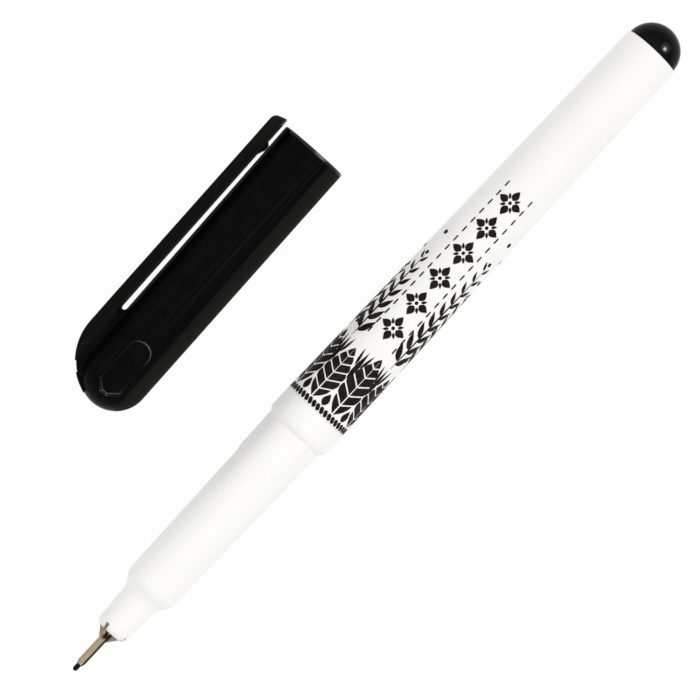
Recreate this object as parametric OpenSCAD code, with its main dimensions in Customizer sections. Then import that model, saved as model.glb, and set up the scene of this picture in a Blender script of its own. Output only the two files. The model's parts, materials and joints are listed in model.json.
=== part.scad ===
// Fabric marker with a fine tip, lying uncapped on a table with its clip cap beside it.
// The pen lies along X with its nib toward -X, and the cap lies on its +Y side.

/* [Nib and tip sleeve] */
// Nib that stands out of the sleeve
nib_point_len = 1.3; // [0.8:0.1:2.0]
// Diameter of the fibre nib
nib_d = 0.8; // [0.5:0.05:0.95]
// Whole length of the nib, back into the ink reservoir
nib_len = 27; // [24:0.5:34]
// Outer diameter of the metal sleeve
sleeve_d = 1.35; // [1.2:0.05:1.6]
// Sleeve that shows ahead of the nozzle mouth
sleeve_show_len = 6.7; // [5.0:0.1:9.0]
// Sleeve that is pressed into the nozzle
sleeve_seat_len = 4.6; // [3.0:0.1:5.2]
// Length of the crimp that closes the sleeve on the nib
crimp_len = 0.5; // [0.3:0.05:0.9]
// Sleeve diameter at the crimped end
crimp_d = 1.08; // [1.0:0.02:1.18]
// Number of wings that key the sleeve into the nozzle
wing_count = 4; // [2:1:6]
// Turn of the first wing from straight up, toward the cap
wing_turn = 23; // [0:1:45]
// Length over which a wing flares ahead of the nozzle mouth
wing_flare_len = 1.6; // [0.8:0.1:2.4]
// Radius that a wing reaches at the nozzle mouth
wing_reach = 1.97; // [1.4:0.01:2.2]
// Radius that a wing reaches at its end in the notch
wing_end_reach = 2.6; // [2.0:0.05:2.65]
// Thickness of a wing
wing_t = 0.5; // [0.3:0.05:0.6]
// Depth of a wing's notch in the nozzle mouth
notch_depth = 1.05; // [0.5:0.05:1.4]

/* [Front section] */
// Nozzle diameter at its mouth
nozzle_mouth_d = 5.5; // [5.0:0.05:5.7]
// Nozzle diameter at its root
nozzle_root_d = 5.85; // [5.6:0.05:6.1]
// Length of the nozzle
nozzle_len = 5.5; // [5.3:0.1:8.0]
// Edge radius of the nozzle mouth
nozzle_edge = 0.95; // [0.3:0.05:1.1]
// Length of the hollow shoulder behind the nozzle
shoulder_len = 3.3; // [2.8:0.1:4.0]
// Radius of the shoulder's hollow
shoulder_arc = 4.5; // [4.2:0.1:6.0]
// Grip diameter at the shoulder
grip_front_d = 8.8; // [8.6:0.05:9.2]
// Half length of the grip's broken front edge
grip_break = 0.5; // [0.2:0.05:0.8]
// Slope of the grip's broken front edge in degrees
grip_break_slope = 22; // [15:1:30]
// Grip diameter at the foot of the step
grip_rear_d = 9.7; // [9.4:0.05:9.9]
// Length of the grip
grip_len = 32.6; // [28:0.1:38]
// Length of the rounded step up to the collar
step_len = 1.5; // [1.0:0.1:2.0]
// Diameter of the collar that the cap closes against
collar_d = 11.15; // [10.9:0.05:11.4]
// Length of the collar
collar_len = 3.3; // [2.5:0.1:5.0]
// Number of ribs that grip the cap
rib_count = 3; // [2:1:6]
// Length of a cap rib
rib_len = 8.1; // [6.0:0.1:8.5]
// Height of a cap rib
rib_h = 0.2; // [0.1:0.01:0.24]
// Width of a cap rib
rib_w = 1.8; // [1.0:0.1:2.4]
// Ramp at the front of a cap rib
rib_ramp = 1.4; // [0.8:0.1:2.0]
// Length of the spigot inside the barrel
spigot_len = 8; // [6:0.5:12]

/* [Barrel] */
// Barrel diameter at the collar
barrel_front_d = 11.06; // [10.9:0.02:11.14]
// Barrel diameter at the end plug
barrel_rear_d = 9.4; // [9.3:0.05:10.2]
// Length of the barrel
barrel_len = 75.3; // [65:0.1:90]
// Wall round the spigot and round the plug
socket_wall = 0.8; // [0.7:0.05:0.95]
// Wall between the two sockets
barrel_wall = 1.0; // [0.95:0.05:1.2]
// Number of ribs that centre the reservoir
core_rib_count = 6; // [3:1:8]
// Width of a centring rib
core_rib_w = 0.7; // [0.5:0.1:1.2]

/* [End plug] */
// Diameter of the plug's dome
dome_d = 9.0; // [8.6:0.05:9.2]
// Length of the plug's skirt inside the barrel
skirt_len = 8; // [6:0.5:11]
// Wall of the plug's skirt
skirt_wall = 1.0; // [0.8:0.05:1.2]

/* [Ink reservoir] */
// Diameter of the fibre rod
rod_d = 6.4; // [6.0:0.1:6.5]
// Thickness of the film round the rod
film_t = 0.1; // [0.08:0.01:0.14]
// Wall between the nozzle bore and the reservoir
seat_wall = 2.2; // [1.5:0.1:3.0]

/* [Cap] */
// Length of the cap from its apex to its mouth
cap_len = 51.4; // [50.6:0.1:53]
// Cap diameter where the dome begins
cap_dome_d = 10.96; // [10.8:0.02:11.1]
// Cap diameter at its mouth
cap_mouth_d = 11.3; // [11.2:0.05:11.5]
// Length of the land that the cap ribs run in
land_len = 9.5; // [8.8:0.1:12]
// Edge radius of the cap mouth
cap_edge = 0.3; // [0.1:0.02:0.36]
// Wall on the axis at the closed end
cap_end_wall = 1.1; // [0.9:0.05:1.3]
// Room ahead of the nib when the cap is on
nib_room = 0.7; // [0.4:0.05:1.0]
// Height of the raised oval pad over the cap's surface
pad_rise = 0.14; // [0.08:0.02:0.2]
// Length of the pad
pad_len = 10.1; // [6:0.1:12]
// Width of the pad
pad_w = 3.8; // [2.5:0.1:4.5]
// Distance of the pad from the apex
pad_start = 2.35; // [2.0:0.05:4.0]
// Turn of the pad's middle line from the cap's top in degrees, away from the clip
pad_turn = 5.8; // [0:0.1:10]
// Run of the pad's sloped end, where it stands up from the dome
pad_end_run = 0.45; // [0.2:0.05:0.8]
// Share of the pad's half width that its front corners are cut off
pad_chamfer = 0.66; // [0.4:0.02:0.8]
// Slope of the wall round the pad, run over rise
pad_slope = 0.4; // [0.2:0.05:0.6]

/* [Cap seal] */
// Wall of the soft seal sleeve
seal_wall = 0.8; // [0.6:0.05:0.95]
// Length of the seal sleeve
seal_len = 12.7; // [8:0.1:13]

/* [Pocket clip] */
// Distance of the clip's outer face from the cap's axis
clip_reach = 8.42; // [7.9:0.02:9.0]
// Thickness of the clip's arm
clip_t = 2.05; // [1.6:0.05:2.2]
// Width of the clip
clip_w = 4.5; // [3.5:0.1:5.0]
// Radius of the clip's outer long edges
clip_edge = 0.6; // [0.3:0.05:0.9]
// Radius of the clip's round root
root_arc = 9.4; // [9.0:0.1:10.0]
// Distance of the round root's middle behind the apex
root_back = 9.25; // [9.2:0.05:10.0]
// Distance of the root's foot on the dome from the cap's axis
root_foot = 1.9; // [1.6:0.1:2.6]
// Slope of the clip's arm toward the cap in degrees
clip_droop = 0.23; // [0:0.01:0.3]
// Distance of the slot's closed end from the apex
slot_start = 13.8; // [11:0.1:16]
// How far the clip's free end passes the cap's mouth
clip_overhang = 0.73; // [0:0.01:1.0]
// Radius of the outer corner at the free end
clip_corner = 1.2; // [0.8:0.1:1.4]
// Slant of the free end in degrees, its underside furthest out
clip_slant = 18; // [0:1:25]
// Length of the relief pocket at the slot's closed end
relief_len = 0.85; // [0.4:0.05:1.2]
// Depth of the relief pocket into the clip's side
relief_depth = 1.0; // [0.5:0.1:1.5]
// Distance of the clip's bump from the mouth
bump_back = 3.5; // [2.5:0.1:6.0]
// Length of the bump at the arm
bump_len = 3.1; // [2.4:0.1:4.0]
// Length of the bump at its tip
bump_tip = 0.9; // [0.6:0.05:1.2]
// Share of the bump's length between its end at the mouth and the middle of its tip
bump_lean = 0.35; // [0.3:0.05:0.5]
// Width of the bump
bump_w = 2.4; // [1.6:0.1:3.0]
// Gap between the bump and the cap
bump_gap = 0.06; // [0.04:0.02:0.3]
// Depth of the gate notch on the clip's root
gate_depth = 0.23; // [0.1:0.01:0.4]
// Where the gate notch begins, in degrees from the clip line
gate_from = 40.5; // [30:0.1:45]
// Arc of the gate notch in degrees
gate_arc = 11; // [8:0.1:15]

/* [Where the cap lies] */
// Distance of the cap's apex behind the nib's point
cap_back = 31.8; // [20:0.1:60]
// Distance of the cap's apex from the pen's axis
cap_side = 25.9; // [16:0.1:40]
// Turn of the cap from the pen's direction
cap_turn = 1.6; // [-3:0.1:3]

/* [Fits] */
// Clearance on the radius of pressed and snapped parts
fit = 0.02; // [0.01:0.005:0.04]
// Clearance on the radius where the cap slides and round the wings
slide_fit = 0.05; // [0.03:0.01:0.08]
// Height of the snap beads
bead_h = 0.12; // [0.08:0.01:0.16]
// Radius of the snap beads
bead_r = 0.35; // [0.3:0.05:0.5]

/* [Hidden] */
$fn = 96;
over = 0.5;

// Stations along the pen, measured from the nib's point
sleeve_x = nib_point_len;
mouth_x = sleeve_x + sleeve_show_len;
sleeve_end_x = mouth_x + sleeve_seat_len;
nozzle_end_x = mouth_x + nozzle_len;
grip_x = nozzle_end_x + shoulder_len;
step_x = grip_x + grip_len;
collar_x = step_x + step_len;
barrel_x = collar_x + collar_len;
barrel_end_x = barrel_x + barrel_len;
spigot_end_x = barrel_x + spigot_len;
skirt_x = barrel_end_x - skirt_len;
rod_x = grip_x + seat_wall;
rod_len = skirt_x - rod_x;

// Radii that fit one another, from the inside out
nib_r = nib_d / 2;
nib_bore_r = nib_r + fit;
sleeve_r = sleeve_d / 2;
rod_r = rod_d / 2;
film_in_r = rod_r + fit;
film_r = film_in_r + film_t;
cavity_r = film_r + fit;
barrel_front_r = barrel_front_d / 2;
barrel_rear_r = barrel_rear_d / 2;
front_socket_r = barrel_front_r - socket_wall;
spigot_r = front_socket_r - fit;
rear_socket_r = barrel_rear_r - socket_wall;
skirt_r = rear_socket_r - fit;
skirt_in_r = skirt_r - skirt_wall;
dome_r = dome_d / 2;
collar_r = collar_d / 2;
grip_front_r = grip_front_d / 2;
grip_rear_r = grip_rear_d / 2;
nozzle_mouth_r = nozzle_mouth_d / 2;
nozzle_root_r = nozzle_root_d / 2;

// The step is a round that starts level on the collar and ends on the grip
step_h = collar_r - grip_rear_r;
step_r = (step_h * step_h + step_len * step_len) / (2 * step_h);

// The cap, measured from its apex: where the pen's pieces come when it is on
cap_on = cap_end_wall + nib_room;
cap_dome_r = cap_dome_d / 2;
cap_mouth_r = cap_mouth_d / 2;
land_r = grip_rear_r + rib_h + slide_fit;
cap_bore_r = grip_rear_r + slide_fit;
seal_in_r = nozzle_root_r + slide_fit;
seal_r = seal_in_r + seal_wall;
seal_seat_r = seal_r + fit;
seal_end = cap_on + nozzle_end_x;
seal_start = seal_end - seal_len;
pocket_r = sleeve_r + cap_end_wall;
bore_start = cap_on + nozzle_end_x + shoulder_len / 2;
clip_under = clip_reach - clip_t;
clip_end = cap_len + clip_overhang;
slot_r = (clip_under - cap_r(slot_start)) / 2;
arm_start = slot_start + slot_r;

// The clip's outer corner is tangent to its outer face and to its slanted end
corner_x = clip_end - (clip_corner + (clip_t - clip_corner) * sin(clip_slant)) / cos(clip_slant);
corner_v = clip_reach - clip_corner;

// The level pad on the cap's top
pad_r = cap_dome_r + pad_rise;
pad_half = pad_w / 2;
pad_round_x = pad_start + pad_len - pad_half;
pad_foot = sqrt(pad_start * (cap_dome_d - pad_start));
pad_edge_z = sqrt(pad_r * pad_r - pad_half * pad_half);

// Each piece lies on its lowest line, so its axis is tilted by its taper
pen_tilt = atan((collar_r - barrel_rear_r) / barrel_len);
pen_lift = collar_r * cos(pen_tilt) + barrel_x * sin(pen_tilt);
cap_tilt = atan((cap_mouth_r - cap_dome_r) / (cap_len - cap_dome_r));
cap_lift = cap_dome_r * cos(cap_tilt) - cap_dome_r * sin(cap_tilt);
middle_x = (barrel_end_x * cos(pen_tilt) + dome_r) / 2;
arm_far_y = cap_side + arm_start * sin(cap_turn) + clip_reach * cos(cap_turn);
clip_far_y = arm_far_y + (corner_x - arm_start) * sin(cap_turn - clip_droop);
middle_y = (clip_far_y - collar_r) / 2;

function barrel_r(x) = barrel_front_r + (barrel_rear_r - barrel_front_r) * (x - barrel_x) / barrel_len;
function grip_r(x) = grip_front_r + (grip_rear_r - grip_front_r) * (x - grip_x) / grip_len;
function cap_r(u) = cap_dome_r + (cap_mouth_r - cap_dome_r) * (u - cap_dome_r) / (cap_len - cap_dome_r);

module lay_pen() {
  translate([-middle_x, -middle_y, pen_lift])
    rotate([0, pen_tilt, 0])
      children();
}

module lay_cap() {
  translate([cap_back - middle_x, cap_side - middle_y, cap_lift])
    rotate([0, 0, cap_turn])
      rotate([0, -cap_tilt, 0])
        children();
}

// Turns a profile of radius and station round the X axis
module turned() {
  rotate([0, 90, 0])
    rotate_extrude()
      children();
}

// Plain stretch of a turned profile, straight or tapered
module stretch(r_a, a, r_b, b) {
  polygon([[0, a], [r_a, a], [r_b, b], [0, b]]);
}

// Snap bead, or the groove that takes it, on a radius at a station
module bead(r, x, room) {
  translate([r + bead_h - bead_r, x])
    circle(bead_r + room);
}

module barrel() {
  color("ivory")
    lay_pen() {
      turned()
        difference() {
          stretch(barrel_front_r, barrel_x, barrel_rear_r, barrel_end_x);
          stretch(front_socket_r, barrel_x - over, front_socket_r, spigot_end_x);
          stretch(
            barrel_r(spigot_end_x) - barrel_wall, spigot_end_x - over,
            barrel_r(skirt_x) - barrel_wall, skirt_x + over
          );
          stretch(rear_socket_r, skirt_x, rear_socket_r, barrel_end_x + over);
          bead(spigot_r, barrel_x + spigot_len / 2, fit);
          bead(skirt_r, barrel_end_x - skirt_len / 2, fit);
        }
      for (i = [0 : core_rib_count - 1])
        rotate([i * 360 / core_rib_count, 0, 0])
          core_rib();
    }
}

// Long rib inside the barrel, rooted in its wall, that keeps the reservoir central
module core_rib() {
  root = barrel_wall / 2;
  rotate([90, 0, 0])
    linear_extrude(core_rib_w, center = true)
      polygon([
        [spigot_end_x, cavity_r],
        [skirt_x, cavity_r],
        [skirt_x, barrel_r(skirt_x) - root],
        [spigot_end_x, barrel_r(spigot_end_x) - root]
      ]);
}

module front_section() {
  color("white")
    lay_pen()
      difference() {
        union() {
          turned() section_outline();
          for (i = [0 : rib_count - 1])
            rotate([i * 360 / rib_count - 90, 0, 0])
              cap_rib();
        }
        turned() section_bores();
        for (i = [0 : wing_count - 1])
          rotate([i * 360 / wing_count - wing_turn, 0, 0])
            wing_notch();
      }
}

// Outside of the front section, from the nozzle's round mouth to the spigot in the barrel
module section_outline() {
  break_x = grip_x + grip_break;
  break_r = grip_r(break_x) - 2 * grip_break * tan(grip_break_slope);
  stretch(nozzle_mouth_r - nozzle_edge, mouth_x, nozzle_mouth_r - nozzle_edge, nozzle_end_x);
  stretch(nozzle_mouth_r, mouth_x + nozzle_edge, nozzle_root_r, nozzle_end_x);
  translate([nozzle_mouth_r - nozzle_edge, mouth_x + nozzle_edge])
    circle(nozzle_edge);
  difference() {
    polygon([
      [0, nozzle_end_x],
      [break_r, nozzle_end_x],
      [break_r, grip_x - grip_break],
      [grip_r(break_x), break_x],
      [0, break_x]
    ]);
    translate([nozzle_root_r + shoulder_arc, nozzle_end_x])
      circle(shoulder_arc);
  }
  stretch(grip_r(break_x), break_x, grip_rear_r, step_x);
  stretch(grip_rear_r, step_x, grip_rear_r, collar_x);
  intersection() {
    stretch(collar_r, step_x, collar_r, collar_x);
    translate([collar_r - step_r, collar_x])
      circle(step_r);
  }
  stretch(collar_r, collar_x, collar_r, barrel_x);
  stretch(spigot_r, barrel_x, spigot_r, spigot_end_x);
  bead(spigot_r, barrel_x + spigot_len / 2, 0);
}

module section_bores() {
  stretch(sleeve_r + fit, mouth_x - over, sleeve_r + fit, sleeve_end_x);
  stretch(nib_bore_r, sleeve_end_x - over, nib_bore_r, rod_x + over);
  stretch(cavity_r, rod_x, cavity_r, spigot_end_x + over);
}

// Low rib with a round back along the grip, which the cap's mouth slides over, ramped at its front
module cap_rib() {
  rib_x = step_x - rib_len;
  sag = rib_h + rib_w * rib_w / (8 * grip_rear_r);
  back_r = (rib_w * rib_w / 4 + sag * sag) / (2 * sag);
  taper = atan((grip_rear_r - grip_front_r) / grip_len);
  sunk = rib_h / 2;
  translate([rib_x, 0, grip_r(rib_x) + rib_h - back_r])
    rotate([0, 90 - taper, 0]) {
      cylinder(h = rib_ramp, r1 = back_r - rib_h - sunk, r2 = back_r);
      translate([0, 0, rib_ramp])
        cylinder(h = rib_len - rib_ramp + 2 * rib_h, r = back_r);
    }
}

// Notch across the nozzle's mouth wall that takes one wing, from the sleeve's bore outward
module wing_notch() {
  notch_w = wing_t + 2 * slide_fit;
  translate([mouth_x - over, -notch_w / 2, sleeve_r / 2])
    cube([notch_depth + over, notch_w, nozzle_mouth_r]);
}

module tip_sleeve() {
  color("rosybrown")
    lay_pen() {
      turned()
        difference() {
          union() {
            stretch(crimp_d / 2, sleeve_x, sleeve_r, sleeve_x + crimp_len);
            stretch(sleeve_r, sleeve_x + crimp_len, sleeve_r, sleeve_end_x);
          }
          stretch(nib_bore_r, sleeve_x - over, nib_bore_r, sleeve_end_x + over);
        }
      for (i = [0 : wing_count - 1])
        rotate([i * 360 / wing_count - wing_turn, 0, 0])
          wing();
    }
}

// Triangular wing that flares from the sleeve and ends in its notch
module wing() {
  root_r = (nib_bore_r + sleeve_r) / 2;
  wing_x = mouth_x - wing_flare_len;
  wing_end_x = mouth_x + notch_depth - slide_fit;
  rotate([90, 0, 0])
    linear_extrude(wing_t, center = true)
      polygon([
        [wing_x, root_r],
        [wing_x, sleeve_r],
        [mouth_x, wing_reach],
        [wing_end_x, wing_end_reach],
        [wing_end_x, root_r]
      ]);
}

module nib() {
  color("black")
    lay_pen()
      turned() {
        intersection() {
          translate([0, nib_r])
            circle(nib_r);
          stretch(nib_r, 0, nib_r, nib_d);
        }
        stretch(nib_r, nib_r, nib_r, nib_len - nib_d);
        stretch(nib_r, nib_len - nib_d, nib_r / 2, nib_len);
      }
}

module ink_reservoir() {
  color("dimgray")
    lay_pen()
      turned()
        difference() {
          stretch(rod_r, rod_x, rod_r, rod_x + rod_len);
          stretch(nib_bore_r, rod_x - over, nib_bore_r, nib_len + fit);
        }
}

module reservoir_film() {
  color("lightgray")
    lay_pen()
      turned()
        difference() {
          stretch(film_r, rod_x, film_r, rod_x + rod_len);
          stretch(film_in_r, rod_x - over, film_in_r, rod_x + rod_len + over);
        }
}

module end_plug() {
  color("black")
    lay_pen()
      turned()
        difference() {
          union() {
            quarter_disc(dome_r, barrel_end_x);
            stretch(skirt_r, skirt_x, skirt_r, barrel_end_x);
            bead(skirt_r, barrel_end_x - skirt_len / 2, 0);
          }
          stretch(skirt_in_r, skirt_x - over, skirt_in_r, barrel_end_x);
          quarter_disc(skirt_in_r, barrel_end_x);
        }
}

// Quarter of a disc behind a station, which turns into a half ball
module quarter_disc(r, x) {
  intersection() {
    translate([0, x])
      circle(r);
    translate([0, x])
      square(r);
  }
}

module cap_shell() {
  color("#1c1c1c")
    lay_cap()
      difference() {
        union() {
          turned() cap_outline();
          pad();
          clip(0, arm_start);
        }
        turned() cap_bores();
        gate_notch();
        slot_relief();
      }
}

// Outside of the cap's body
module cap_outline() {
  edge_x = cap_len - cap_edge;
  edge_r = cap_mouth_r - cap_edge;
  quarter_disc_ahead(cap_dome_r, cap_dome_r);
  stretch(cap_dome_r, cap_dome_r, cap_r(edge_x), edge_x);
  stretch(edge_r, edge_x, edge_r, cap_len);
  translate([edge_r, edge_x])
    circle(cap_edge);
}

// Quarter of a disc ahead of a station
module quarter_disc_ahead(r, x) {
  intersection() {
    translate([0, x])
      circle(r);
    translate([0, x - r])
      square(r);
  }
}

// Inside of the cap, from the pocket ahead of the nib to the land at the mouth
module cap_bores() {
  land_start = cap_len - land_len;
  stretch(pocket_r, cap_end_wall, pocket_r, seal_start + over);
  stretch(seal_seat_r, seal_start, seal_seat_r, seal_end);
  stretch(seal_seat_r, seal_end - fit, cap_bore_r, bore_start);
  stretch(cap_bore_r, bore_start - fit, cap_bore_r, cap_len);
  stretch(land_r, land_start, land_r, cap_len + over);
}

// Straight arm of the clip with its bump, one moulding with the cap beyond its root face
module pocket_clip() {
  color("#1c1c1c")
    lay_cap() {
      intersection() {
        translate([arm_start, clip_reach, 0])
          rotate([0, 0, -clip_droop])
            translate([-arm_start, -clip_reach, 0])
              clip(arm_start - over, clip_end);
        translate([arm_start, 0, -clip_w])
          cube([clip_end, clip_reach + over, 2 * clip_w]);
      }
      linear_extrude(bump_w, center = true)
        bump_outline();
    }
}

// The clip between two stations: a round root on the dome, then a straight run, with rounded edges
module clip(from, to) {
  intersection() {
    union() {
      translate([root_back, clip_reach - root_arc, 0])
        rotate([0, 0, 90])
          rotate_extrude(angle = 90)
            clip_section(root_arc);
      translate([root_back, 0, 0])
        rotate([90, 0, 90])
          linear_extrude(clip_end - root_back)
            clip_section(clip_reach);
    }
    linear_extrude(clip_w + 2 * over, center = true)
      intersection() {
        clip_outline();
        translate([from, 0])
          square([to - from, clip_reach + over]);
      }
  }
}

// Section across the clip, out to its rounded outer face
module clip_section(reach) {
  translate([0, -clip_w / 2])
    square([reach - clip_edge, clip_w]);
  translate([0, clip_edge - clip_w / 2])
    square([reach, clip_w - 2 * clip_edge]);
  for (side = [-1, 1])
    translate([reach - clip_edge, side * (clip_w / 2 - clip_edge)])
      circle(clip_edge);
}

// Side view of the clip: solid up to the slot, then the arm with its slanted end and rounded corner
module clip_outline() {
  difference() {
    union() {
      polygon([
        [0, root_foot],
        [clip_end, root_foot],
        [clip_end, clip_under],
        [corner_x + clip_corner * cos(clip_slant), corner_v + clip_corner * sin(clip_slant)],
        [corner_x, corner_v],
        [corner_x, clip_reach],
        [0, clip_reach]
      ]);
      translate([corner_x, corner_v])
        circle(clip_corner);
    }
    translate([arm_start, 0])
      square([clip_end, clip_under]);
    translate([arm_start, clip_under - slot_r])
      circle(slot_r);
  }
}

// Side view of the bump that holds cloth under the clip
module bump_outline() {
  base_x = cap_len - bump_back - bump_len;
  tip_mid = base_x + bump_len * (1 - bump_lean);
  tip_v = cap_r(tip_mid) + bump_gap;
  root_v = clip_under + clip_t / 4;
  polygon([
    [base_x, root_v],
    [base_x, clip_under],
    [tip_mid - bump_tip / 2, tip_v],
    [tip_mid + bump_tip / 2, tip_v],
    [base_x + bump_len, clip_under],
    [base_x + bump_len, root_v]
  ]);
}

// Blind pocket in both sides of the clip's root, where the mould closes the slot's end
module slot_relief() {
  for (side = [-1, 1])
    translate([
      slot_start - relief_len,
      cap_r(slot_start),
      side * clip_w / 2 - relief_depth
    ])
      cube([relief_len + slot_r, 2 * slot_r - fit, 2 * relief_depth]);
}

// Level pad on the cap's top, which stands up where the dome falls away, with sloped walls all round
module pad() {
  chamfer = pad_half * pad_chamfer;
  corner_at = pad_start + chamfer / 2;
  corner_off = pad_half - chamfer / 2;
  rotate([pad_turn, 0, 0])
    intersection() {
      turned() stretch(pad_r, 0, pad_r, cap_len);
      pad_plan();
      pad_face(pad_start, 0, 0);
      pad_face(corner_at, corner_off, -45);
      pad_face(corner_at, -corner_off, 45);
    }
}

// Long sides and round end of the pad, drawn in toward its top
module pad_plan() {
  low_z = pad_foot - pad_half / 2;
  high_z = pad_r + pad_rise;
  low_half = pad_half + (pad_edge_z - low_z) * pad_slope;
  high_half = pad_half - (high_z - pad_edge_z) * pad_slope;
  translate([0, 0, low_z])
    rotate([90, 0, 90])
      linear_extrude(pad_round_x)
        polygon([
          [-low_half, 0],
          [low_half, 0],
          [high_half, high_z - low_z],
          [-high_half, high_z - low_z]
        ]);
  translate([pad_round_x, 0, low_z])
    cylinder(h = high_z - low_z, r1 = low_half, r2 = high_half);
}

// What lies behind one sloped face of the pad, whose foot stands at a place and is turned
module pad_face(x, y, turn) {
  rise = pad_r - pad_foot;
  far = 2 * pad_len;
  translate([x, y, pad_foot])
    rotate([90, 0, turn])
      linear_extrude(2 * far, center = true)
        polygon([
          [-pad_end_run, -rise],
          [2 * pad_end_run, 2 * rise],
          [far, 2 * rise],
          [far, -rise]
        ]);
}

// Shallow notch across the clip's round root
module gate_notch() {
  translate([root_back, clip_reach - root_arc, 0])
    rotate([0, 0, 90 + gate_from])
      rotate_extrude(angle = gate_arc)
        translate([root_arc - gate_depth, -clip_w])
          square([gate_depth + over, 2 * clip_w]);
}

module cap_seal() {
  lead_in = seal_wall / 2;
  color("gainsboro")
    lay_cap()
      turned()
        difference() {
          stretch(seal_r, seal_start, seal_r, seal_end);
          stretch(seal_in_r, seal_start - over, seal_in_r, seal_end + over);
          stretch(seal_in_r, seal_end - lead_in, seal_in_r + lead_in, seal_end);
        }
}

barrel();
front_section();
end_plug();
tip_sleeve();
nib();
ink_reservoir();
reservoir_film();
cap_shell();
pocket_clip();
cap_seal();
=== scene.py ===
import json
from math import cos, pi, radians, sin

import bmesh
import bpy
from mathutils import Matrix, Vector


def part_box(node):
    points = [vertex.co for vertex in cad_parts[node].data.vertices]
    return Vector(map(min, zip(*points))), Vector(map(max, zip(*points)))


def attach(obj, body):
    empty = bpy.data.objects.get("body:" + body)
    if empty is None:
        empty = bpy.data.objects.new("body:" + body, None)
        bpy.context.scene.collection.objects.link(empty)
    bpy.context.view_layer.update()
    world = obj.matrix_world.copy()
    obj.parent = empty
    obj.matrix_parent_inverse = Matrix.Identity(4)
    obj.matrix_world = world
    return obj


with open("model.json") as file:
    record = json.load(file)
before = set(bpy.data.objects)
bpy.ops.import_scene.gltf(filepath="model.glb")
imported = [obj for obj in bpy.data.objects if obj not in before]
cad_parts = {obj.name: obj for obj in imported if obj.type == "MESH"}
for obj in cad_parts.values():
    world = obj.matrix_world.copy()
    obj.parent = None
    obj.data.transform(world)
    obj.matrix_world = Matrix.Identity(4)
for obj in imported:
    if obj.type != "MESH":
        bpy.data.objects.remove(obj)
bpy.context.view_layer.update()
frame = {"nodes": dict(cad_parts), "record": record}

# Camera: it looks straight down on the pair, turned so that the pen rises to the right.
# The picture's middle lies a little behind the collar, on the cap's side of the pen.
mounts = {mount["name"]: mount for mount in frame["record"]["mounts"]}
collar_at = Vector(mounts["collar"]["pos_m"])
to_nib = Vector(mounts["collar"]["axis"]).normalized()
nib_point_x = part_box("nib")[0][0]
picture_behind_nib = 0.06458
picture_beside_pen = 0.00254
picture_width = 0.10709
eye_height = 0.600
nearest_seen = 0.01
sensor_width_mm = 36.0
pen_rise = radians(46.957)

camera = bpy.data.objects.new("camera", bpy.data.cameras.new("camera"))
camera.data.sensor_width = sensor_width_mm
camera.data.lens = sensor_width_mm * eye_height / picture_width
camera.data.clip_start = nearest_seen
camera.location = (
    nib_point_x + picture_behind_nib,
    collar_at.y + picture_beside_pen,
    collar_at.z + eye_height,
)
camera.rotation_euler = (0.0, 0.0, -pen_rise)
bpy.context.scene.collection.objects.link(camera)
bpy.context.scene.camera = camera
bpy.context.scene.view_settings.view_transform = "Standard"


# Table: a wide, plain pale sheet that the pen and its cap lie on.
# It is bright where the eye or a reflection meets it, and keeps a soft shadow of both.
def add(tree, kind, inputs=None, **settings):
    """Add a shader node; an input is set to a value, or linked where a socket is given."""
    made = tree.nodes.new(kind)
    for name, value in settings.items():
        setattr(made, name, value)
    for name, value in (inputs or {}).items():
        if isinstance(value, bpy.types.NodeSocket):
            tree.links.new(value, made.inputs[name])
        else:
            made.inputs[name].default_value = value
    return made


def maths(tree, operation, *values, clamp=False):
    """The result of an operation on values or sockets."""
    made = add(tree, "ShaderNodeMath", dict(enumerate(values)), operation=operation, use_clamp=clamp)
    return made.outputs["Value"]


def new_material(name):
    """An empty node material, and its output node."""
    material = bpy.data.materials.new(name)
    material.use_nodes = True
    material.node_tree.nodes.clear()
    return material, add(material.node_tree, "ShaderNodeOutputMaterial")


table_half = 3.0
table_white = (0.90, 0.90, 0.895, 1.0)
table_glow = 0.95
pure_white = (1.0, 1.0, 1.0, 1.0)

table_mesh = bpy.data.meshes.new("table")
bm = bmesh.new()
bmesh.ops.create_grid(bm, x_segments=1, y_segments=1, size=table_half)
bm.to_mesh(table_mesh)
bm.free()
table = bpy.data.objects.new("table", table_mesh)
bpy.context.scene.collection.objects.link(table)

sheet, sheet_out = new_material("pale_sheet")
tree = sheet.node_tree
matt = add(tree, "ShaderNodeBsdfDiffuse", {"Color": table_white})
glow = add(tree, "ShaderNodeEmission", {"Color": pure_white})
path = add(tree, "ShaderNodeLightPath")
mirrored = maths(tree, "ADD", path.outputs["Is Glossy Ray"], path.outputs["Is Transmission Ray"])
seen = maths(tree, "ADD", path.outputs["Is Camera Ray"], mirrored, clamp=True)
glowing = maths(tree, "MULTIPLY", seen, table_glow)
blend = add(
    tree, "ShaderNodeMixShader",
    {"Fac": glowing, 1: matt.outputs["BSDF"], 2: glow.outputs["Emission"]},
)
tree.links.new(blend.outputs["Shader"], sheet_out.inputs["Surface"])
table_mesh.materials.append(sheet)


# Light: a pale room, brightest overhead, dimmer toward the horizon and beyond both ends of the pen.
# Two small lamps on the pen's side put the bright spots on gloss and edges.
def toward(tree, vector, direction):
    """How far a point or a facing reaches along a direction."""
    made = add(tree, "ShaderNodeVectorMath", {0: vector, 1: direction}, operation="DOT_PRODUCT")
    return made.outputs["Value"]


def ramp(tree, value, start, end, low=0.0, high=1.0, blend="LINEAR"):
    """A value that goes from low to high while another goes from start to end."""
    made = add(
        tree, "ShaderNodeMapRange",
        {"Value": value, "From Min": start, "From Max": end, "To Min": low, "To Max": high},
        interpolation_type=blend,
    )
    return made.outputs["Result"]


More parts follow.
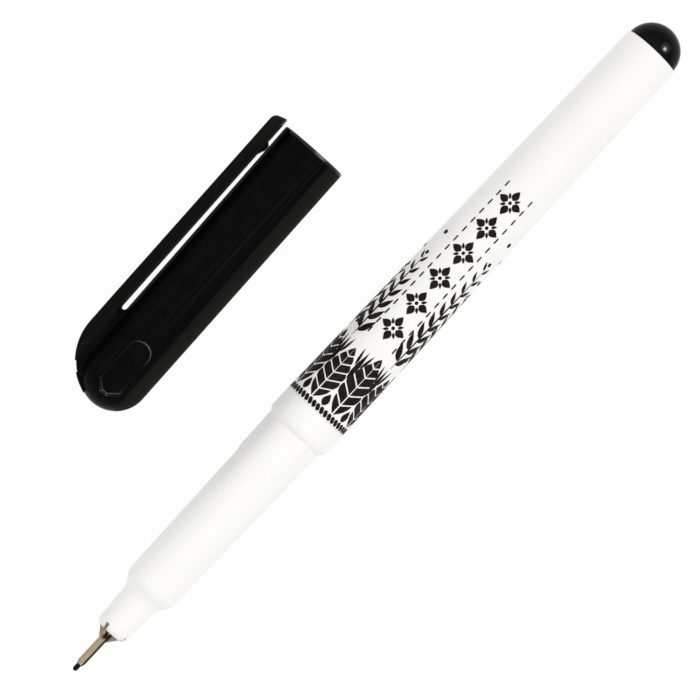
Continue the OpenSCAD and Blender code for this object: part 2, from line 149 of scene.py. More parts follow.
def soft_lamp(name, strength, azimuth_deg):
    """A lamp that shines from a wide patch of the room at a compass angle."""
    spread = radians(13.0)
    height_deg = 39.0
    lamp = bpy.data.lights.new(name, "SUN")
    lamp.energy = strength
    lamp.angle = spread
    lamp_object = bpy.data.objects.new(name, lamp)
    lamp_object.rotation_euler = (radians(90.0 - height_deg), 0.0, radians(azimuth_deg + 90.0))
    bpy.context.scene.collection.objects.link(lamp_object)


room_level = 1.04
room_dim = 0.64
room_lean = (0.0, 0.08, 0.72)
room_ends = -0.30
room_dim_until = 0.02
room_full_from = 0.58

world = bpy.data.worlds.new("pale_room")
world.use_nodes = True
tree = world.node_tree
way = add(tree, "ShaderNodeTexCoord").outputs["Generated"]
lengthwise = maths(tree, "ABSOLUTE", add(tree, "ShaderNodeSeparateXYZ", {"Vector": way}).outputs["X"])
height = maths(tree, "MULTIPLY_ADD", lengthwise, room_ends, toward(tree, way, room_lean))
level = ramp(tree, height, room_dim_until, room_full_from, room_dim, room_level, "SMOOTHSTEP")
tree.links.new(level, tree.nodes["Background"].inputs["Strength"])
tree.nodes["Background"].inputs["Color"].default_value = pure_white
bpy.context.scene.world = world

soft_lamp("lamp_end_side", strength=0.55, azimuth_deg=-39.0)
soft_lamp("lamp_nib_side", strength=0.16, azimuth_deg=-141.0)


# Barrel: a tapered tube of white polypropylene, injection moulded and open at both ends.
# The front section and the end plug are pushed into it. Its skin is smooth, with a faint mottle,
# and a shade warmer than the front section's.
def new_group(name, given, told):
    """A shader node group with named inputs and outputs, each with its kind of socket."""
    group = bpy.data.node_groups.new(name, "ShaderNodeTree")
    for socket, kind in given.items():
        group.interface.new_socket(socket, in_out="INPUT", socket_type="NodeSocket" + kind)
    for socket, kind in told.items():
        group.interface.new_socket(socket, in_out="OUTPUT", socket_type="NodeSocket" + kind)
    return group, add(group, "NodeGroupInput").outputs, add(group, "NodeGroupOutput").inputs


def place_of(tree):
    """The place of a point on its piece."""
    return add(tree, "ShaderNodeTexCoord").outputs["Object"]


def noise(tree, vector, scale, detail):
    """A soft random value over the surface."""
    made = add(tree, "ShaderNodeTexNoise", {"Vector": vector, "Scale": scale, "Detail": detail})
    return made.outputs["Fac"]


def mixed(tree, mask, under, over):
    """One colour laid over another where a mask is."""
    made = add(tree, "ShaderNodeMixRGB", {"Fac": mask, "Color1": under, "Color2": over})
    return made.outputs["Color"]


# Moulded skin, shared by all the plastics: a soft mottle, an uneven gloss and a shallow grain.
skin_group, given, told = new_group(
    "moulded_skin",
    {"Colour": "Color", "Mottle Colour": "Color", "Mottle Scale": "Float", "Grain Scale": "Float",
     "Roughness": "Float", "Roughness Spread": "Float"},
    {"Colour": "Color", "Roughness": "Float", "Height": "Float"},
)
mottle_from, mottle_full = 0.38, 0.66
place = place_of(skin_group)
clouds = noise(skin_group, place, given["Mottle Scale"], detail=3.0)
patches = ramp(skin_group, clouds, mottle_from, mottle_full)
grain = noise(skin_group, place, given["Grain Scale"], detail=2.0)
uneven = maths(skin_group, "MULTIPLY_ADD", grain, given["Roughness Spread"], given["Roughness"])
skin_group.links.new(mixed(skin_group, patches, given["Colour"], given["Mottle Colour"]), told["Colour"])
skin_group.links.new(uneven, told["Roughness"])
skin_group.links.new(grain, told["Height"])


def moulded_skin(tree, colour, mottle, mottle_scale, grain_scale, rough, rough_spread):
    """Place the moulded skin in a material, and give its outputs."""
    made = add(
        tree, "ShaderNodeGroup",
        {"Colour": colour, "Mottle Colour": mottle, "Mottle Scale": mottle_scale,
         "Grain Scale": grain_scale, "Roughness": rough, "Roughness Spread": rough_spread},
        node_tree=skin_group,
    )
    return made.outputs


def moulded_plastic(name, gloss, relief, edge_round, coat=0.0, coat_rough=0.08, **skin_values):
    """A plastic with the moulded skin, and its surface. Gloss is the specular level, relief the grain's
    depth, edge_round the radius to which edges look rounded, and coat the weight of a polished top."""
    grain_strength = 0.6
    material, output = new_material(name)
    tree = material.node_tree
    skin = moulded_skin(tree, **skin_values)
    round_edge = add(tree, "ShaderNodeBevel", {"Radius": edge_round}, samples=6).outputs["Normal"]
    bump = add(
        tree, "ShaderNodeBump",
        {"Height": skin["Height"], "Distance": relief, "Strength": grain_strength, "Normal": round_edge},
    )
    surface = add(
        tree, "ShaderNodeBsdfPrincipled",
        {"Base Color": skin["Colour"], "Roughness": skin["Roughness"], "Specular IOR Level": gloss,
         "Normal": bump.outputs["Normal"], "Coat Weight": coat, "Coat Roughness": coat_rough,
         "Coat Normal": round_edge},
    )
    tree.links.new(surface.outputs["BSDF"], output.inputs["Surface"])
    return material, surface


def dress(node_name, material):
    """Give a part of the assembly its one material."""
    slots = frame["nodes"][node_name].data.materials
    slots.clear()
    slots.append(material)


barrel_white, _ = moulded_plastic(
    "barrel_white", gloss=0.42, relief=0.000003, edge_round=0.0001,
    colour=(0.948, 0.936, 0.903, 1.0), mottle=(0.938, 0.923, 0.885, 1.0),
    mottle_scale=210.0, grain_scale=8000.0, rough=0.32, rough_spread=0.14,
)
dress("barrel", barrel_white)

# Print: black screen ink on the front part of the barrel, each stroke a thin closed film on the plastic.
# A corded hem, a row of veined leaves, sprigs, and a row of flowers between two rows of stitches.
barrel_front_r = 0.00553
barrel_rear_r = 0.00470
barrel_length = 0.0753
collar_half = 0.00165
ink_film = 0.00003
same_place = 0.0000001

to_rear = -to_nib
to_cap = Vector((0.0, 1.0, 0.0))
pen_up = to_rear.cross(to_cap)
barrel_start = collar_at + to_rear * collar_half
girth = 2.0 * pi * barrel_front_r

ink = bmesh.new()


def ink_patch(columns, rows, shape):
    """A flat patch of ink; its shape says where each point of a unit sheet lies on the unrolled barrel."""
    for vert in bmesh.ops.create_grid(ink, x_segments=columns, y_segments=rows, size=0.5)["verts"]:
        vert.co = shape(vert.co.x + 0.5, vert.co.y + 0.5)


def turned_to(x, a, heading, ahead, aside):
    """A place ahead and aside of a point on the unrolled barrel, along a heading."""
    return Vector((
        x + ahead * cos(heading) - aside * sin(heading),
        a + ahead * sin(heading) + aside * cos(heading),
        0.0,
    ))


def closer_at_ends(u):
    """A share of a length whose even steps grow shorter toward both ends."""
    return (1.0 - cos(pi * u)) / 2.0


def leaflet(x, a, heading, length, width, bend=0.0):
    """A pointed leaf from its stalk end along its heading, curved to one side by its bend."""
    fullest_early = 0.75

    def shape(u, v):
        station = closer_at_ends(u)
        aside = (v - 0.5) * width * sin(pi * station ** fullest_early) + bend * length * station ** 2
        return turned_to(x, a, heading, length * station, aside)
    ink_patch(columns=12, rows=2, shape=shape)


def stroke(x, a, heading, length, width):
    """A short straight stroke with round ends."""
    def shape(u, v):
        station = closer_at_ends(u)
        aside = (v - 0.5) * width * (1.0 - (2.0 * station - 1.0) ** 4) ** 0.5
        return turned_to(x, a, heading, length * station, aside)
    ink_patch(columns=12, rows=2, shape=shape)


def berry(x, a, radius):
    """A round spot."""
    def shape(u, v):
        return turned_to(x, a, 2.0 * pi * u, radius * v, 0.0)
    ink_patch(columns=18, rows=1, shape=shape)


def veined_leaf(x, a, length, half_width, lobes):
    """A broad leaf that points to the rear, its midrib and its swept side veins left bare."""
    midrib = 0.00028
    midrib_taper = 0.85
    vein = 0.16
    sweep = 0.30
    scallop = 0.10
    fullest_early = 0.62
    fullness = 0.85
    for side in (-1.0, 1.0):
        for lobe in range(lobes):
            first = (lobe + vein / 2.0) / lobes if lobe > 0 else 0.0
            last = (lobe + 1.0 - vein / 2.0) / lobes if lobe < lobes - 1 else 1.0

            def shape(u, v):
                station = first + (last - first) * u
                outline = sin(pi * station ** fullest_early) ** fullness
                reach = half_width * outline * (1.0 + scallop * sin(pi * u))
                swept = station + sweep * v * (1.0 - station) * station ** 0.5
                bare = midrib * (1.0 - midrib_taper * station) / 2.0
                return Vector((x + length * swept, a + side * (bare + reach * v), 0.0))
            ink_patch(columns=6, rows=8, shape=shape)


def sprig(x, a, length, heading, pairs):
    """A stem with pairs of leaves that grow shorter toward its tip, and a berry at its end."""
    stem_width = 0.00034
    leaf_length = 0.0034
    leaf_width = 0.00115
    leaf_slant = radians(44.0)
    leaf_bend = 0.18
    stem_half = 0.00014
    pair_shift = 0.0003
    shrink = 0.58
    berry_r = 0.00036
    berry_ahead = 0.0006
    leaflet(x, a, heading, length, stem_width)
    for pair in range(pairs):
        along = (pair + 0.5) / pairs
        size = 1.0 - shrink * along
        stem = turned_to(x, a, heading, length * along, 0.0)
        for side in (-1.0, 1.0):
            leaflet(
                stem.x + pair_shift * (side + 1.0), stem.y + side * stem_half, heading + side * leaf_slant,
                leaf_length * size, leaf_width * size, -side * leaf_bend,
            )
    tip = turned_to(x, a, heading, length + berry_ahead, 0.0)
    berry(tip.x, tip.y, berry_r)


def flower(x, a):
    """Four petals round a berry, with four small leaves between them."""
    berry_r = 0.00030
    petal_from, petal_length, petal_width = 0.00055, 0.00175, 0.00125
    small_from, small_length, small_width = 0.00070, 0.00100, 0.00046
    berry(x, a, berry_r)
    for quarter in range(4):
        straight = quarter * pi / 2.0
        slanted = straight + pi / 4.0
        petal = turned_to(x, a, straight, petal_from, 0.0)
        small = turned_to(x, a, slanted, small_from, 0.0)
        leaflet(petal.x, petal.y, straight, petal_length, petal_width)
        leaflet(small.x, small.y, slanted, small_length, small_width)


hem_start = 0.00016
cord_count = 44
cord_length = 0.00115
cord_slant = radians(24.0)
cord_fill = 0.80
cord_step = girth / cord_count
cord_width = cord_step * cord_fill
for number in range(cord_count):
    stroke(hem_start, number * cord_step, cord_slant, cord_length, cord_width)

leaf_count = 8
leaf_lobes = 6
leaf_start = 0.00135
leaf_length = 0.0098
longer_by = 0.0014
leaf_step = girth / leaf_count
leaf_half = 0.00188
bud_length, bud_width = 0.0021, 0.0012
spear_start, spear_length, spear_width = 0.0068, 0.0052, 0.00080
blade_start, blade_length, blade_width = 0.0092, 0.0030, 0.00045
blade_aside = 0.00048
blade_slant = radians(10.0)
for number in range(leaf_count):
    around = (number + 0.5) * leaf_step
    veined_leaf(leaf_start, around, leaf_length + longer_by * (number % 2), leaf_half, leaf_lobes)
    between = number * leaf_step
    leaflet(leaf_start, between, 0.0, bud_length, bud_width)
    leaflet(spear_start, between, 0.0, spear_length, spear_width)
    for side in (-1.0, 1.0):
        leaflet(blade_start, between + side * blade_aside, side * blade_slant, blade_length, blade_width)

for around, start, length, heading_deg, pairs in (
    (0.0045, 0.0122, 0.0165, 2.0, 7),
    (0.0080, 0.0132, 0.0120, -2.0, 5),
    (0.0118, 0.0122, 0.0180, 1.0, 7),
    (0.0158, 0.0132, 0.0135, 0.0, 6),
    (-0.0045, 0.0122, 0.0215, -2.0, 9),
    (-0.0082, 0.0132, 0.0150, 2.0, 6),
    (-0.0120, 0.0122, 0.0185, -1.0, 7),
    (-0.0158, 0.0132, 0.0150, 0.0, 6),
):
    sprig(start, around, length, radians(heading_deg), pairs)

stitch_count = 17
stitch_start = 0.0142
stitch_step = 0.0019
stitch_aside = 0.0027
stitch_length, stitch_width = 0.00115, 0.00026
for side in (-1.0, 1.0):
    for number in range(stitch_count):
        stroke(stitch_start + stitch_step * number, side * stitch_aside, 0.0, stitch_length, stitch_width)

flower_count = 6
flower_start = 0.0172
flower_step = 0.0052
for number in range(flower_count):
    flower(flower_start + flower_step * number, 0.0)

loose_berry_r = 0.00040
for x, around in (
    (0.0145, 0.0062), (0.0205, 0.0064), (0.0262, 0.0072), (0.0300, 0.0078), (0.0335, 0.0052),
    (0.0300, 0.0100), (0.0150, -0.0063), (0.0210, -0.0066), (0.0265, -0.0064), (0.0312, -0.0070),
    (0.0358, -0.0082), (0.0385, -0.0056), (0.0320, -0.0105), (0.0345, 0.0135), (0.0335, -0.0140),
):
    berry(x, around, loose_berry_r)

# The flat patches are turned face up, given their thickness, and rolled round the barrel.
bmesh.ops.remove_doubles(ink, verts=ink.verts, dist=same_place)
ink.normal_update()
bmesh.ops.reverse_faces(ink, faces=[face for face in ink.faces if face.normal.z < 0.0])
bmesh.ops.solidify(ink, geom=ink.faces[:], thickness=ink_film * 2.0)
underside = min(vert.co.z for vert in ink.verts)
for vert in ink.verts:
    taper = (barrel_rear_r - barrel_front_r) * vert.co.x / barrel_length
    radius = barrel_front_r + taper + vert.co.z - underside - ink_film
    turn = vert.co.y / barrel_front_r
    outward = to_cap * sin(turn) + pen_up * cos(turn)
    vert.co = barrel_start + to_rear * vert.co.x + outward * radius

print_mesh = bpy.data.meshes.new("barrel_print")
ink.to_mesh(print_mesh)
ink.free()
barrel_print = bpy.data.objects.new("barrel_print", print_mesh)
bpy.context.scene.collection.objects.link(barrel_print)
print_ink, _ = moulded_plastic(
    "print_ink", gloss=0.07, relief=0.000002, edge_round=0.00001,
    colour=(0.0085, 0.0060, 0.0045, 1.0), mottle=(0.020, 0.014, 0.011, 1.0),
    mottle_scale=900.0, grain_scale=12000.0, rough=0.38, rough_spread=0.16,
)
print_mesh.materials.append(print_ink)
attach(barrel_print, "pen")

# End plug: a domed black plug with a skirt, moulded in plastic and snapped into the barrel's rear end.
# It is glossy, and polished bright in one spot where it has been rubbed.
plug_round = 0.0045
plug_coat = 0.15
rub_facing = Vector((0.335, -0.271, 0.902)).normalized()
rub_reach = 0.0011
rub_ragged = 0.0002

# Ragged spot, shared by rubbed and stained places, painted shade and painted highlights: full near a
# point, gone at its reach.
spot_group, given, told = new_group(
    "ragged_spot",
    {"Point": "Vector", "Reach": "Float", "Ragged": "Float", "Strength": "Float"},
    {"Mask": "Float"},
)
spot_grain = 2200.0
spot_full = 0.35
place = place_of(spot_group)
away = add(spot_group, "ShaderNodeVectorMath", {0: place, 1: given["Point"]}, operation="DISTANCE")
frayed = maths(spot_group, "SUBTRACT", noise(spot_group, place, spot_grain, detail=3.0), 0.5)
edge = maths(spot_group, "MULTIPLY_ADD", frayed, given["Ragged"], away.outputs["Value"])
full_at = maths(spot_group, "MULTIPLY", given["Reach"], spot_full)
mask = ramp(spot_group, edge, given["Reach"], full_at, 0.0, given["Strength"], "SMOOTHSTEP")
spot_group.links.new(mask, told["Mask"])


def ragged_spot(tree, point, reach, ragged, strength=1.0):
    """Place a ragged spot in a material, and give its mask."""
    made = add(
        tree, "ShaderNodeGroup",
        {"Point": point, "Reach": reach, "Ragged": ragged, "Strength": strength}, node_tree=spot_group,
    )
    return made.outputs["Mask"]


dome_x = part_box("end_plug")[1][0] - plug_round
dome_middle = collar_at + to_rear * ((dome_x - collar_at.x) / to_rear.x)
plug_black, surface = moulded_plastic(
    "plug_black", gloss=0.02, relief=0.000001, edge_round=0.0001, coat=plug_coat, coat_rough=0.14,
    colour=(0.0012, 0.0012, 0.0013, 1.0), mottle=(0.0024, 0.0024, 0.0025, 1.0),
    mottle_scale=500.0, grain_scale=9000.0, rough=0.12, rough_spread=0.08,
)
tree = plug_black.node_tree
rubbed = ragged_spot(tree, dome_middle + rub_facing * plug_round, rub_reach, rub_ragged)
shine = maths(tree, "MULTIPLY_ADD", rubbed, 1.0 - plug_coat, plug_coat)
tree.links.new(shine, surface.inputs["Coat Weight"])
dress("end_plug", plug_black)

# Ink reservoir: a rod of bonded polyester fibre soaked with black ink, slid into the barrel.
# Its front end takes the nib's rear end, which draws the ink forward.
ink_fibre, _ = moulded_plastic(
    "ink_fibre", gloss=0.20, relief=0.00003, edge_round=0.00005,
    colour=(0.05, 0.05, 0.055, 1.0), mottle=(0.03, 0.03, 0.033, 1.0),
    mottle_scale=1500.0, grain_scale=12000.0, rough=0.70, rough_spread=0.25,
)
dress("ink_reservoir", ink_fibre)

# Reservoir film: a thin clear plastic film, wound round the fibre rod and welded along it.
# It keeps the ink in the rod and off the barrel's wall.
film_cover = 0.6
film, surface = moulded_plastic(
    "film", gloss=0.50, relief=0.000002, edge_round=0.00005,
    colour=(0.75, 0.75, 0.76, 1.0), mottle=(0.70, 0.70, 0.72, 1.0),
    mottle_scale=300.0, grain_scale=7000.0, rough=0.22, rough_spread=0.10,
)
surface.inputs["Alpha"].default_value = film_cover
dress("reservoir_film", film)

# Front section: nozzle, grip, cap ribs and collar in one moulding of white polypropylene.
# It is pushed into the barrel up to its collar, and is tinted cream round its mouth.
mouth_behind_nib = 0.0080
cream = (0.93, 0.885, 0.79, 1.0)
cream_reach = 0.0040
cream_ragged = 0.0006
cream_strength = 0.75

nib_point = collar_at + to_nib * ((nib_point_x - collar_at.x) / to_nib.x)
section_white, surface = moulded_plastic(
    "section_white", gloss=0.40, relief=0.000003, edge_round=0.0004,
    colour=(0.952, 0.948, 0.922, 1.0), mottle=(0.944, 0.938, 0.908, 1.0),
    mottle_scale=260.0, grain_scale=9000.0, rough=0.34, rough_spread=0.12,
)
tree = section_white.node_tree
clean = surface.inputs["Base Color"].links[0].from_socket
mouth_spot = ragged_spot(
    tree, nib_point - to_nib * mouth_behind_nib, cream_reach, cream_ragged, cream_strength,
)
tree.links.new(mixed(tree, mouth_spot, clean, cream), surface.inputs["Base Color"])
dress("front_section", section_white)

# Tip sleeve: a thin tube of drawn metal with four wings pressed out of it.
# It is crimped on the nib and pressed into the nozzle, its wings in the notches of the mouth.
# A dark painted reflection runs along its side toward the pen, and painted shade sits where the wings
# begin.
sleeve_dark = (0.36, 0.28, 0.195, 1.0)
sleeve_bright = (0.50, 0.405, 0.290, 1.0)
wing_grey = (0.21, 0.195, 0.170, 1.0)
wing_from, wing_full, wing_share = 0.00068, 0.00090, 0.75
# A painted dark reflection along the sleeve's side toward the pen.
side_painted_dark = (0.020, 0.013, 0.007, 1.0)
dark_side_from, dark_side_full, dark_side_share = -0.00024, -0.00042, 0.95
dark_side_fades_from, dark_side_gone = -0.00070, -0.00085
# Painted shade: a dark brown spot where the wings meet the sleeve.
wing_root_shade = (0.008, 0.006, 0.005, 1.0)
shade_behind_nib, shade_above_axis = 0.0072, 0.0008
shade_reach, shade_ragged, shade_strength = 0.00085, 0.0003, 0.95
line_low, line_high = 0.3, 0.7
line_depth, line_strength = 0.00001, 0.5
sleeve_smooth, sleeve_rough = 0.24, 0.42

# Lengthwise lines, shared by drawn metal and by the flow of plastic: a noise stretched along the piece.
lines_group, given, told = new_group(
    "lengthwise_lines",
    {"Turn": "Vector", "Stretch": "Vector", "Scale": "Float", "Detail": "Float"},
    {"Lines": "Float"},
)
aligned = add(
    lines_group, "ShaderNodeMapping",
    {"Vector": place_of(lines_group), "Rotation": given["Turn"]},
)
drawn = add(
    lines_group, "ShaderNodeMapping",
    {"Vector": aligned.outputs["Vector"], "Scale": given["Stretch"]},
)
lines = noise(lines_group, drawn.outputs["Vector"], given["Scale"], given["Detail"])
lines_group.links.new(lines, told["Lines"])


def lengthwise_lines(tree, yaw, shrink, scale, detail):
    """Place lengthwise lines in a material, for a piece that is turned by its yaw."""
    made = add(
        tree, "ShaderNodeGroup",
        {"Turn": (0.0, 0.0, -yaw), "Stretch": (shrink, 1.0, 1.0), "Scale": scale, "Detail": detail},
        node_tree=lines_group,
    )
    return made.outputs["Lines"]


sleeve_metal, output = new_material("sleeve_metal")
tree = sleeve_metal.node_tree
lines = lengthwise_lines(tree, yaw=0.0, shrink=0.02, scale=16000.0, detail=2.0)
metal = mixed(tree, ramp(tree, lines, line_low, line_high), sleeve_dark, sleeve_bright)
apart = add(tree, "ShaderNodeVectorMath", {0: place_of(tree), 1: nib_point}, operation="SUBTRACT")
aside = toward(tree, apart.outputs["Vector"], to_cap)
on_wing = ramp(tree, maths(tree, "ABSOLUTE", aside), wing_from, wing_full, 0.0, wing_share)
greyed = mixed(tree, on_wing, metal, wing_grey)
# Painted dark reflection: a dark band along the side toward the pen, fading out before the wings.
dark_side_mask = ramp(tree, aside, dark_side_from, dark_side_full, 0.0, dark_side_share)
on_tube = ramp(tree, aside, dark_side_gone, dark_side_fades_from)
dark_sided = mixed(tree, maths(tree, "MULTIPLY", dark_side_mask, on_tube), greyed, side_painted_dark)
# Painted shade where the wings begin.
shade_at = nib_point - to_nib * shade_behind_nib + Vector((0.0, 0.0, shade_above_axis))
shaded = mixed(tree, ragged_spot(tree, shade_at, shade_reach, shade_ragged, shade_strength), dark_sided, wing_root_shade)
rough = ramp(tree, lines, line_low, line_high, sleeve_smooth, sleeve_rough)
bump = add(tree, "ShaderNodeBump", {"Height": lines, "Distance": line_depth, "Strength": line_strength})
surface = add(
    tree, "ShaderNodeBsdfPrincipled",
    {"Base Color": shaded, "Metallic": 1.0, "Roughness": rough, "Normal": bump.outputs["Normal"]},
)
tree.links.new(surface.outputs["BSDF"], output.inputs["Surface"])
dress("tip_sleeve", sleeve_metal)

# Nib: a fine rod of bonded fibre, soaked with black ink and ground round at its point.
# It is held by the crimped sleeve and reaches back into the ink reservoir.
nib_fibre, _ = moulded_plastic(
    "nib_fibre", gloss=0.12, relief=0.00002, edge_round=0.00005,
    colour=(0.003, 0.003, 0.003, 1.0), mottle=(0.010, 0.009, 0.009, 1.0),
    mottle_scale=9000.0, grain_scale=16000.0, rough=0.62, rough_spread=0.25,
)
dress("nib", nib_fibre)

# Cap: a black polypropylene cap with its pocket clip in one moulding, taken off and laid beside the pen.
# Its skin is glossy with faint flow lines along it; its edges are polished and a little lighter, partly
# from wear and partly as a painted highlight. The flank toward the pen is lighter and duller as a painted
# reflection, the clip's end is hazy from handling, and pale painted highlights sit on the pad's ends and
# the lip.
cap_base = (0.0016, 0.0016, 0.0017, 1.0)
cap_mottle = (0.0026, 0.0026, 0.0027, 1.0)
cap_streak = (0.0064, 0.0064, 0.0064, 1.0)
# The edge colour is partly wear and partly a painted highlight, the haze colour a painted reflection on
# the flank and haze of handling on the clip's end, the scuff colour a painted highlight, the slot black
# painted shade and the cloth grey a painted reflection.
cap_worn_highlit = (0.008, 0.008, 0.0075, 1.0)
cap_haze_and_sheen = (0.0120, 0.0120, 0.0108, 1.0)
cap_painted_highlight = (0.200, 0.198, 0.185, 1.0)
slot_painted_shade = (0.0002, 0.0002, 0.0002, 1.0)
slot_painted_reflection = (0.0380, 0.0370, 0.0350, 1.0)
cap_gloss = 0.026
polish_rough = 0.09
cap_grain_depth, cap_grain_strength = 0.000001, 0.5
cap_radius = 0.0056
lip_ahead_of_bore = 0.0046
pad_behind_bore = 0.0393
pad_half = 0.0019

to_mouth = Vector(mounts["cap_mouth"]["axis"])
clip_side = Vector((-to_mouth.y, to_mouth.x, 0.0)).normalized()
cap_yaw = to_mouth.to_2d().angle_signed(Vector((1.0, 0.0)))
bore_middle = Vector(mounts["cap_mouth"]["pos_m"])
cap_top = bore_middle + Vector((0.0, 0.0, cap_radius))
lip_top = cap_top + to_mouth * lip_ahead_of_bore
pad_middle = cap_top - to_mouth * pad_behind_bore
axis_at = clip_side.dot(bore_middle)
mouth_at = max(to_mouth.dot(vert.co) for vert in frame["nodes"]["cap_shell"].data.vertices)
clip_starts_at = min(to_mouth.dot(vert.co) for vert in frame["nodes"]["pocket_clip"].data.vertices)

cap_black, output = new_material("cap_black")
tree = cap_black.node_tree
skin = moulded_skin(
    tree, colour=cap_base, mottle=cap_mottle, mottle_scale=420.0, grain_scale=11000.0,
    rough=0.24, rough_spread=0.10,
)
streak_from, streak_full = 0.54, 0.72
flow = lengthwise_lines(tree, yaw=cap_yaw, shrink=0.012, scale=1400.0, detail=3.0)
streaked = mixed(tree, ramp(tree, flow, streak_from, streak_full), skin["Colour"], cap_streak)

# Places on the cap: by the distance from its axis toward the clip, and by the distance from its mouth.
body_sure, body_ends = 0.0016, 0.0021
clip_begins, clip_sure = 0.0060, 0.0064
flank_begins, flank_sure = -0.0032, -0.0037
rim_begins, rim_sure = -0.0010, -0.0006
lip_begins, lip_sure, lip_share = -0.00055, -0.00040, 0.55
end_begins, end_sure = -0.0060, -0.0005
end_haze_least, end_haze_most = 0.32, 0.80
place = place_of(tree)
along = toward(tree, place, to_mouth)
aside = toward(tree, place, clip_side)
on_body = ramp(tree, aside, axis_at + body_ends, axis_at + body_sure)
on_clip = ramp(tree, aside, axis_at + clip_begins, axis_at + clip_sure)
off_clip = maths(tree, "SUBTRACT", 1.0, on_clip)
on_flank = ramp(tree, aside, axis_at + flank_begins, axis_at + flank_sure, blend="SMOOTHSTEP")
at_rim = ramp(tree, along, mouth_at + rim_begins, mouth_at + rim_sure)
at_lip = ramp(tree, along, mouth_at + lip_begins, mouth_at + lip_sure, 0.0, lip_share)
at_end = ramp(tree, along, mouth_at + end_begins, mouth_at + end_sure, end_haze_least, end_haze_most)

# Edges look rounded, more so at the mouth, but not where the clip's arm goes over into its root.
cap_edge_round, rim_edge_round = 0.00022, 0.00060
root_before_clip = 0.00055
root_half, root_faded = 0.00095, 0.00114
facing = add(tree, "ShaderNodeNewGeometry").outputs["Normal"]
edge_radius = ramp(tree, at_rim, 0.0, 1.0, cap_edge_round, rim_edge_round)
bevelled = add(tree, "ShaderNodeBevel", {"Radius": edge_radius}, samples=8).outputs["Normal"]
from_root = maths(tree, "ABSOLUTE", maths(tree, "SUBTRACT", along, clip_starts_at - root_before_clip))
round_edge = mixed(tree, ramp(tree, from_root, root_half, root_faded), facing, bevelled)

# Wear, and a painted highlight, where an edge bends and stands free; the pad's two long edges are spared.
bend_begins, bend_full = 0.985, 0.92
crevice = 0.0006
air_least, air_full = 0.75, 0.95
spared_reach = 0.0042
spot_ragged = 0.0004
bent = ramp(tree, toward(tree, round_edge, facing), bend_begins, bend_full)
air = add(tree, "ShaderNodeAmbientOcclusion", {"Distance": crevice}, samples=6).outputs["AO"]
edge = maths(tree, "MULTIPLY", bent, ramp(tree, air, air_least, air_full))
pad_spared = maths(
    tree, "MAXIMUM",
    ragged_spot(tree, pad_middle - clip_side * pad_half, spared_reach, spot_ragged, strength=0.92),
    ragged_spot(tree, pad_middle + clip_side * pad_half, spared_reach, spot_ragged, strength=0.60),
)
body_wear_and_highlight = maths(tree, "MULTIPLY", on_body, maths(tree, "SUBTRACT", 1.0, pad_spared))
rubbed_and_highlit_edge = maths(tree, "MULTIPLY", edge, maths(tree, "MAXIMUM", body_wear_and_highlight, on_clip))
lip_edge = maths(tree, "MULTIPLY", at_lip, off_clip)
worn_and_highlit = maths(tree, "MAXIMUM", rubbed_and_highlit_edge, lip_edge)

# A painted reflection, lighter and duller, on the flank toward the pen; haze of handling on the clip, most
# at its end.
flow_low, flow_high, haze_and_sheen_least = 0.25, 0.60, 0.55
handled_and_sheened = maths(tree, "MAXIMUM", on_flank, maths(tree, "MULTIPLY", at_end, on_clip))
haze_and_sheen = maths(tree, "MULTIPLY", handled_and_sheened, ramp(tree, flow, flow_low, flow_high, haze_and_sheen_least, 1.0))
hazed_and_sheened = mixed(tree, haze_and_sheen, streaked, cap_haze_and_sheen)

# Painted highlights, pale on the edges at the two ends of the pad and on one stretch of the lip.
front_ahead, front_aside, front_reach = 0.0046, 0.0017, 0.0030
rear_behind, rear_aside, rear_reach = 0.0043, 0.0015, 0.0028
lip_aside, lip_reach = 0.0016, 0.0016
pad_front = pad_middle + to_mouth * front_ahead - clip_side * front_aside
pad_rear = pad_middle - to_mouth * rear_behind - clip_side * rear_aside
lip_stretch = lip_top - clip_side * lip_aside
pad_front_highlight = ragged_spot(tree, pad_front, front_reach, spot_ragged)
pad_rear_highlight = ragged_spot(tree, pad_rear, rear_reach, spot_ragged, strength=0.7)
lip_highlight = ragged_spot(tree, lip_stretch, lip_reach, spot_ragged)
pad_highlights = maths(tree, "MULTIPLY", rubbed_and_highlit_edge, maths(tree, "MAXIMUM", pad_front_highlight, pad_rear_highlight))
painted_highlights = maths(tree, "MAXIMUM", pad_highlights, maths(tree, "MULTIPLY", lip_edge, lip_highlight))
colour_with_painted_light = mixed(tree, painted_highlights, mixed(tree, worn_and_highlit, hazed_and_sheened, cap_worn_highlit), cap_painted_highlight)

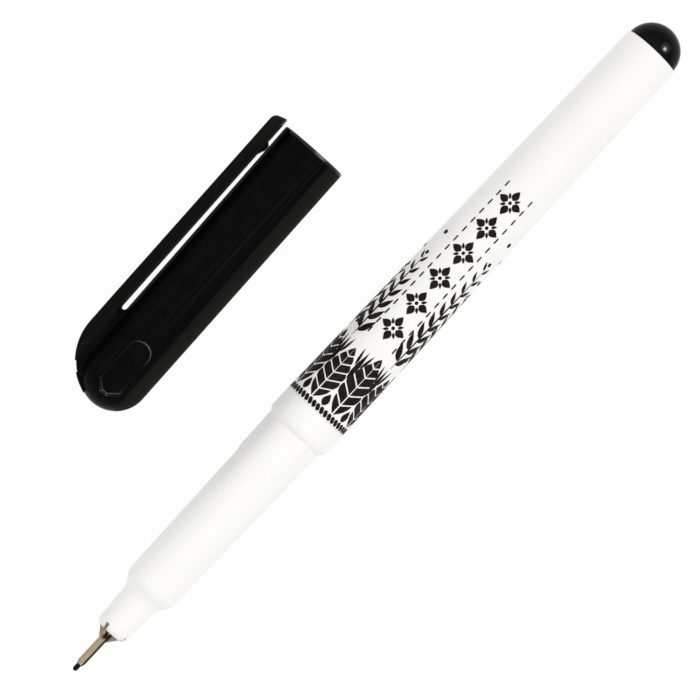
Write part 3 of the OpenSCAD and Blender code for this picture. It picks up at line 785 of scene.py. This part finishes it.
# The slot under the clip: the shell's side of it is painted deep black as shade, but for the line
# nearest the clip, which is painted grey as a reflection.
shell_turns, shell_faces_clip = 0.55, 0.75
clip_turns, clip_faces_shell = -0.5, -0.8
reflection_begins, reflection_full = 0.89, 0.94
clipward = toward(tree, facing, clip_side)
shell_in_slot = ramp(tree, clipward, shell_turns, shell_faces_clip)
clip_in_slot = ramp(tree, clipward, clip_turns, clip_faces_shell)
in_slot = mixed(tree, on_clip, shell_in_slot, clip_in_slot)
reflection_mask = ramp(tree, clipward, reflection_begins, reflection_full)
slot_painted_colour = mixed(tree, reflection_mask, slot_painted_shade, slot_painted_reflection)
colour = mixed(tree, maths(tree, "MULTIPLY", shell_in_slot, off_clip), colour_with_painted_light, slot_painted_colour)

# The flank, the clip's end and both faces of the slot are duller than the skin, and the worn and highlit
# edges are polished.
haze_rough, slot_rough = 0.40, 0.5
dulled = maths(tree, "MULTIPLY_ADD", haze_and_sheen, haze_rough, maths(tree, "MULTIPLY", in_slot, slot_rough))
rough = maths(tree, "ADD", skin["Roughness"], dulled)
bump = add(
    tree, "ShaderNodeBump",
    {"Height": skin["Height"], "Distance": cap_grain_depth, "Strength": cap_grain_strength,
     "Normal": round_edge},
)
surface = add(
    tree, "ShaderNodeBsdfPrincipled",
    {"Base Color": colour, "Roughness": rough, "Specular IOR Level": cap_gloss,
     "Normal": bump.outputs["Normal"], "Coat Weight": worn_and_highlit, "Coat Roughness": polish_rough,
     "Coat Normal": round_edge},
)
tree.links.new(surface.outputs["BSDF"], output.inputs["Surface"])
dress("cap_shell", cap_black)
dress("pocket_clip", cap_black)

# Cap seal: a soft polyethylene sleeve in the cap's closed end that holds the nozzle tight.
# It is pressed into its seat and has a lead-in at its open end.
seal_soft, _ = moulded_plastic(
    "seal_soft", gloss=0.35, relief=0.000003, edge_round=0.0001,
    colour=(0.80, 0.80, 0.78, 1.0), mottle=(0.76, 0.76, 0.735, 1.0),
    mottle_scale=350.0, grain_scale=8000.0, rough=0.45, rough_spread=0.15,
)
dress("cap_seal", seal_soft)
